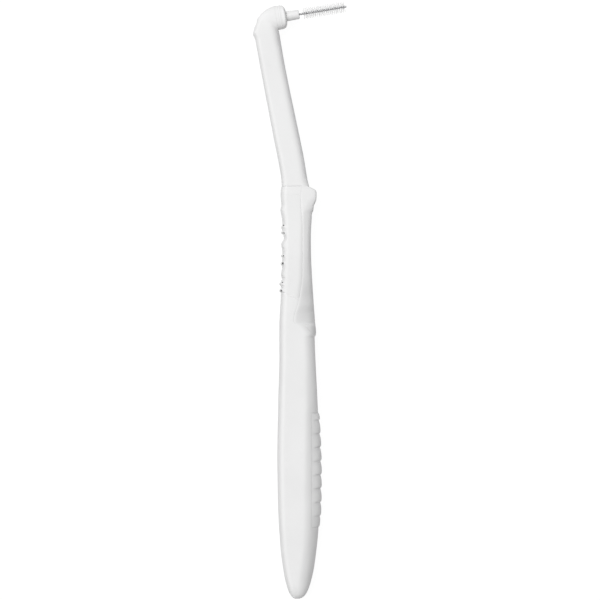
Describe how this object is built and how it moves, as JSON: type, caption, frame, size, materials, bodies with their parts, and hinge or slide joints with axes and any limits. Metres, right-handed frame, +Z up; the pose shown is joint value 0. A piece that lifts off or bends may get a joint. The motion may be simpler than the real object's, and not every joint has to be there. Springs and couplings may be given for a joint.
{
  "type": "interdental brush",
  "caption": "Long soft-grip handle with an angled neck and a pull-out twisted-wire brush set square to the neck, for cleaning between teeth.",
  "frame": {"origin": "centre of the footprint on the resting plane, with the tool lying on one flat side", "axes": "+Y along the handle towards the head, +X to the side the brush points to, +Z up from the resting flat to the other flat"},
  "size_m": [0.0236, 0.1512, 0.0084],
  "materials": {
    "hard_plastic": "semi-gloss white moulded plastic",
    "soft_grip": "satin white soft grip moulding",
    "insert_plastic": "semi-gloss white moulded plastic",
    "wire_steel": "drawn stainless wire, twisted",
    "bristle_nylon": "fine white nylon filament"
  },
  "bodies": {
    "handle": {"handle_body": "hard_plastic", "neck_stem": "hard_plastic", "front_finger_pad": "soft_grip", "rear_thumb_grip": "soft_grip", "palm_pad": "soft_grip"},
    "brush_insert": {"brush_hub": "insert_plastic", "wire_sleeve": "insert_plastic", "brush_wire": "wire_steel", "bristles": "bristle_nylon"}
  },
  "joints": [
    {"name": "insert_pull", "type": "slide", "parent": "handle", "child": "brush_insert", "axis": [0.9867, 0.1628, 0], "range_m": [0, 0.004]}
  ]
}
